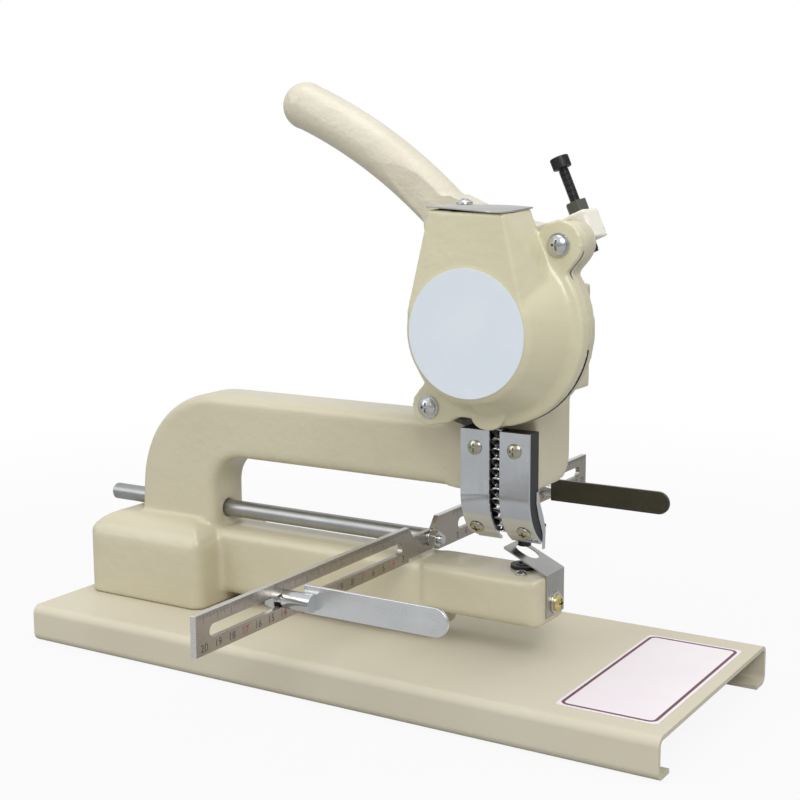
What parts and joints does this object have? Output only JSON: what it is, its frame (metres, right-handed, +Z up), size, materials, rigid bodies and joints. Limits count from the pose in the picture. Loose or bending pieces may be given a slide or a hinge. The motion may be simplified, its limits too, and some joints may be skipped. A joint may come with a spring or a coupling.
{
  "type": "eyelet machine",
  "caption": "Bench eyelet machine with a hand lever, round eyelet hopper, curved chute, deep-throat cast frame and a sliding ruler gauge with side stops.",
  "frame": {"origin": "middle of the base plate, on the surface it stands on", "axes": "+Z up, +X along the base towards the die end, -Y towards the hopper side"},
  "size_m": [0.401, 0.412, 0.3292],
  "materials": {
    "cream_enamel": "semi_gloss",
    "handle_enamel": "semi_gloss",
    "label_plate": "gloss",
    "bright_steel": "polished",
    "zinc_fixings": "satin",
    "yellow_zinc": "satin",
    "black_oxide": "satin",
    "ground_steel": "satin",
    "eyelet_metal": "bright",
    "bristle": "matte"
  },
  "bodies": {
    "frame": {"base_plate": "cream_enamel", "base_label": "label_plate", "frame_casting": "cream_enamel", "casting_bolts": "zinc_fixings", "casting_washers": "zinc_fixings", "hopper_bowl": "cream_enamel", "hopper_disc": "label_plate", "hopper_screws": "zinc_fixings", "hopper_washers": "zinc_fixings", "lid_screw": "zinc_fixings", "chute_track": "black_oxide", "chute_plate_left": "bright_steel", "chute_plate_right": "bright_steel", "chute_screws": "zinc_fixings", "chute_catch_spring": "bright_steel", "eyelets": "eyelet_metal", "ram_key_screw": "black_oxide", "ram_spring": "ground_steel", "lower_die": "zinc_fixings", "lower_die_screw": "zinc_fixings", "lifter_plate": "bright_steel", "lifter_screw": "yellow_zinc", "lifter_washer": "zinc_fixings"},
    "handle": {"handle_lever": "handle_enamel", "lever_shaft": "ground_steel", "lever_pin": "ground_steel", "stop_screw": "black_oxide", "stop_nut": "black_oxide", "shaft_washer": "zinc_fixings", "shaft_circlip": "black_oxide", "feed_brush": "black_oxide", "brush_bristles": "bristle"},
    "ram": {"ram": "ground_steel", "ram_roller": "ground_steel", "roller_pin": "ground_steel", "upper_die": "black_oxide", "upper_die_screw": "black_oxide"},
    "gauge": {"guide_rod": "bright_steel", "ruler_bar": "bright_steel", "ruler_stud": "zinc_fixings", "ruler_nut": "zinc_fixings", "ruler_washer": "zinc_fixings"},
    "front_fence": {"front_stop": "bright_steel", "front_stop_stud": "zinc_fixings", "front_stop_nut": "zinc_fixings", "front_stop_washer": "zinc_fixings"},
    "rear_fence": {"rear_stop": "bright_steel", "rear_stop_stud": "zinc_fixings", "rear_stop_nut": "zinc_fixings", "rear_stop_washer": "zinc_fixings"},
    "lid": {"hopper_lid": "bright_steel"},
    "rod_clamp": {"rod_clamp_screw": "black_oxide"}
  },
  "joints": [
    {"name": "handle_swing", "type": "hinge", "parent": "frame", "child": "handle", "pos_m": [0.088, 0.005, 0.202], "axis": [0, 1, 0], "range_deg": [0, 113]},
    {"name": "ram_slide", "type": "slide", "parent": "frame", "child": "ram", "axis": [0, 0, -1], "range_m": [0, 0.0097], "stiffness_N_per_m": 1500, "springref_m": -0.012, "deforming": ["ram_spring"]},
    {"name": "gauge_slide", "type": "slide", "parent": "frame", "child": "gauge", "axis": [1, 0, 0], "range_m": [-0.135, 0.03]},
    {"name": "front_fence_slide", "type": "slide", "parent": "gauge", "child": "front_fence", "axis": [0, 1, 0], "range_m": [-0.053, 0.098]},
    {"name": "rear_fence_slide", "type": "slide", "parent": "gauge", "child": "rear_fence", "axis": [0, 1, 0], "range_m": [-0.098, 0.053]},
    {"name": "lid_swivel", "type": "hinge", "parent": "frame", "child": "lid", "pos_m": [0.071, -0.0325, 0.2638], "axis": [0, 0, 1], "range_deg": [-110, 0]},
    {"name": "rod_clamp_turn", "type": "hinge", "parent": "frame", "child": "rod_clamp", "pos_m": [-0.1375, 0.02, 0.0775], "axis": [0, 1, 0], "range_deg": [0, 180]}
  ],
  "couplings": [
    {"joint": "ram_slide", "follows": "handle_swing", "m_per_rad": 0.0048676}
  ]
}
